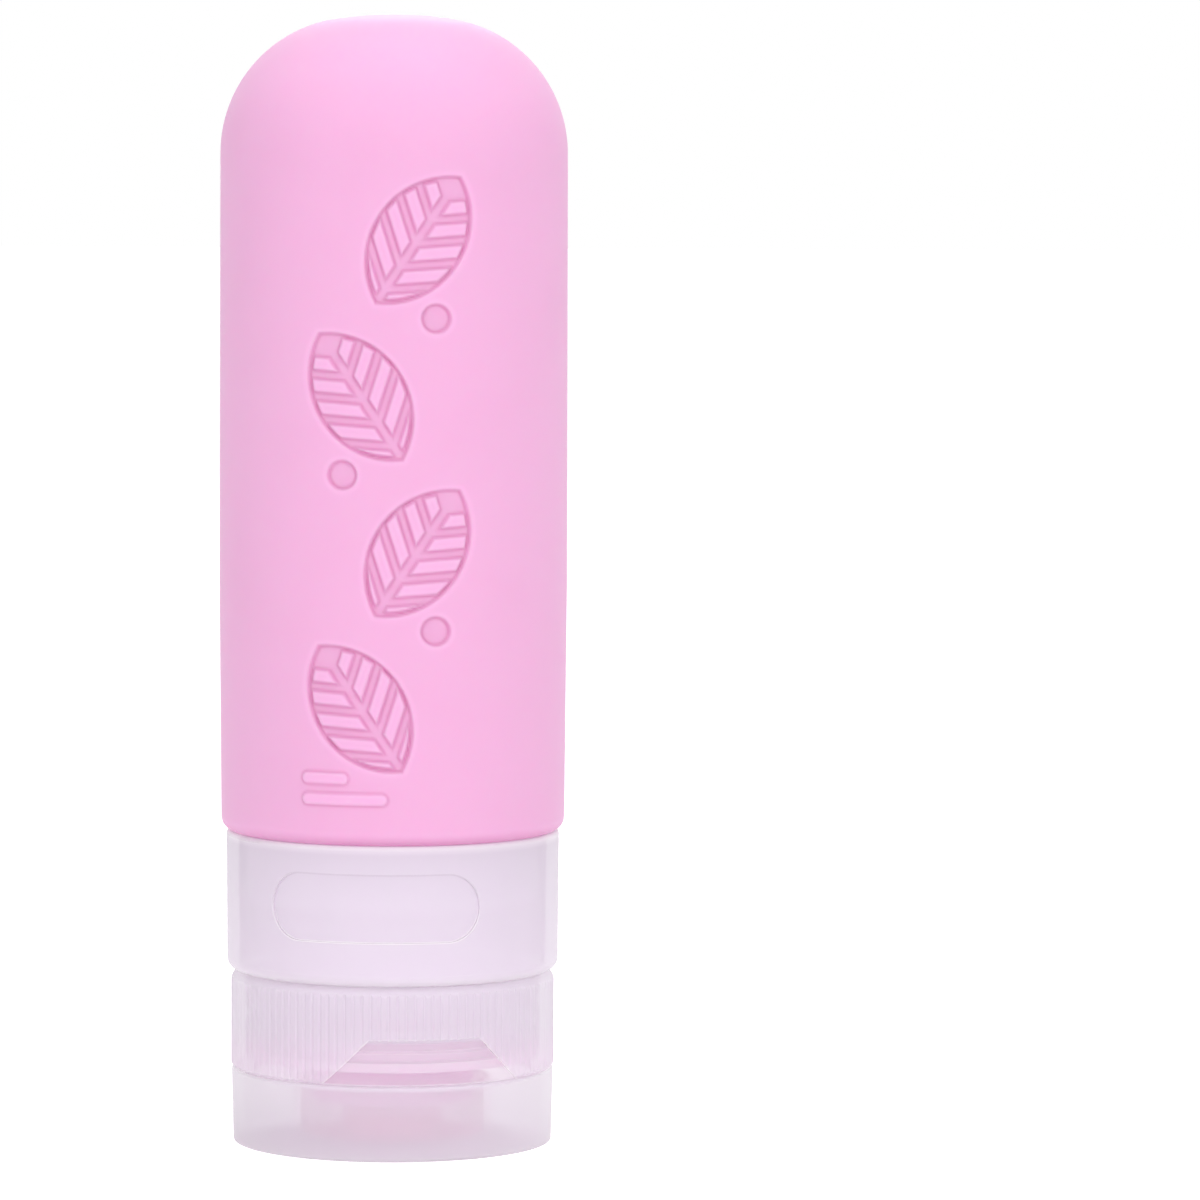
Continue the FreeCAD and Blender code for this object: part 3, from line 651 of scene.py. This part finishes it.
# Bands as (start height, full height, colour, opacity), and the valve's painted pink glow as (start height,
# full height, share)
# Painted light on the cap's top, paler where the seam under the collar lies in shade
CAP_TOP_LIGHT = (19.6, 20.8, shade(FROST, 1.05), 0.8)
LID_END = (0.6, 0.3, LID_TONE, LID_OPACITY)
# Painted pink glow of the valve on the cap, growing from 15 mm down to 11 mm
CAP_VALVE_GLOW = (15, 11, 0.5)

pink = silicone("pink_silicone", PINK)
pale = silicone("seal_silicone", SEAL)
milky = frosted("milky_plastic", COLLAR_LOOK, UPWARD)
inner = frosted("inner_plastic", NECK_LOOK)
frost = frosted("frosted_plastic", CAP_LOOK, band=CAP_TOP_LIGHT, valve_glow=CAP_VALVE_GLOW)
clear = frosted("clear_plastic", LID_LOOK, band=LID_END)
films = hinge_plastic()

bottle = make_bottle()
wear(bottle, pink)
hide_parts("squeeze_body")
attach(bottle, "bottle")

wear(nodes["drip_valve"], pink)
wear(nodes["cap_gasket"], pale)
wear(nodes["collar"], milky)
wear(nodes["neck_insert"], inner)
wear(nodes["cap_base"], frost)
wear(nodes["valve_ring"], frost)
wear(nodes["flip_lid"], clear)

# Hinge films between the cap and the lid: copies of the hinge parts with their ridges marked, shown in
# place of the parts
for name in ("hinge_web", "hinge_wing_left", "hinge_wing_right"):
    film = bpy.data.objects.new(f"{name}_film", nodes[name].data.copy())
    bpy.context.scene.collection.objects.link(film)
    mark_ridges(film.data)
    wear(film, films)
    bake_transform(film)
    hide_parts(name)


def plain_sight(tree):
    """1 for rays that see the backdrop directly or in a reflection, 0 for light and past frosted walls."""
    rays = tree.nodes.new("ShaderNodeLightPath")

    def math_node(operation, first, second):
        made = tree.nodes.new("ShaderNodeMath")
        made.operation = operation
        tree.links.new(first, made.inputs[0])
        if isinstance(second, float):
            made.inputs[1].default_value = second
        else:
            tree.links.new(second, made.inputs[1])
        return made.outputs["Value"]

    open_view = math_node("LESS_THAN", rays.outputs["Transparent Depth"], OPEN_DEPTH)
    direct = math_node("MULTIPLY", rays.outputs["Is Camera Ray"], open_view)
    mirrored = math_node("MAXIMUM", rays.outputs["Is Glossy Ray"], rays.outputs["Is Transmission Ray"])
    return math_node("MAXIMUM", direct, mirrored)


def make_floor():
    bpy.ops.mesh.primitive_grid_add(
        x_subdivisions=FLOOR_GRID, y_subdivisions=FLOOR_GRID, size=FLOOR_SIZE, location=(0, 0, -FLOOR_DROP))
    floor = bpy.context.object
    floor.name = "studio_floor"
    shader = Shader("studio_white")
    speck = shader.noise(*FLOOR_SPECK)
    shader.link(shader.ramp(speck, *FLOOR_TONES), shader.surface.inputs["Base Color"])
    shader.set({"Roughness": 0.9, "Specular IOR Level": 0.0})
    glow = shader.node("ShaderNodeEmission", strength=FLOOR_LIFT)
    none = shader.node("ShaderNodeEmission", strength=0.0)
    lift = shader.node("ShaderNodeMixShader")
    both = shader.node("ShaderNodeAddShader")
    shader.link(plain_sight(shader.tree), lift.inputs["Fac"])
    shader.link(none.outputs["Emission"], lift.inputs[1])
    shader.link(glow.outputs["Emission"], lift.inputs[2])
    shader.link(shader.surface.outputs["BSDF"], both.inputs[0])
    shader.link(lift.outputs["Shader"], both.inputs[1])
    shader.link(both.outputs["Shader"], shader.tree.nodes["Material Output"].inputs["Surface"])
    wear(floor, shader.material)


def make_world():
    world = bpy.data.worlds.new("studio_world")
    bpy.context.scene.world = world
    world.use_nodes = True
    tree = world.node_tree
    light = tree.nodes["Background"]
    light.inputs["Color"].default_value = WORLD_TINT
    light.inputs["Strength"].default_value = WORLD_LIGHT
    white = tree.nodes.new("ShaderNodeBackground")
    white.inputs["Color"].default_value = WHITE
    mix = tree.nodes.new("ShaderNodeMixShader")
    tree.links.new(plain_sight(tree), mix.inputs["Fac"])
    tree.links.new(light.outputs["Background"], mix.inputs[1])
    tree.links.new(white.outputs["Background"], mix.inputs[2])
    tree.links.new(mix.outputs["Shader"], tree.nodes["World Output"].inputs["Surface"])


def make_lamp(name, place, target, size, power):
    lamp = bpy.data.lights.new(name, "AREA")
    lamp.shape = "DISK"
    lamp.size = size
    lamp.energy = power
    holder = bpy.data.objects.new(name, lamp)
    holder.location = place
    holder.rotation_mode = "QUATERNION"
    holder.rotation_quaternion = (Vector(target) - Vector(place)).to_track_quat("-Z", "Y")
    bpy.context.scene.collection.objects.link(holder)


def make_camera():
    lens = bpy.data.cameras.new("photo_camera")
    lens.sensor_width = SENSOR_WIDTH
    lens.lens = LENS
    lens.clip_start, lens.clip_end = CLIP
    camera = bpy.data.objects.new("photo_camera", lens)
    bpy.context.scene.collection.objects.link(camera)
    tilt = Matrix.Rotation(math.radians(CAMERA_TILT), 4, "X")
    roll = Matrix.Rotation(math.radians(CAMERA_ROLL), 4, "Z")
    camera.matrix_world = Matrix.Translation(CAMERA_PLACE) @ tilt @ roll
    bpy.context.scene.camera = camera


make_floor()
make_world()
for lamp in LAMPS:
    make_lamp(*lamp)
make_camera()
bpy.context.scene.view_settings.view_transform = "Standard"
bpy.context.scene.cycles.transparent_max_bounces = CLEAR_BOUNCES
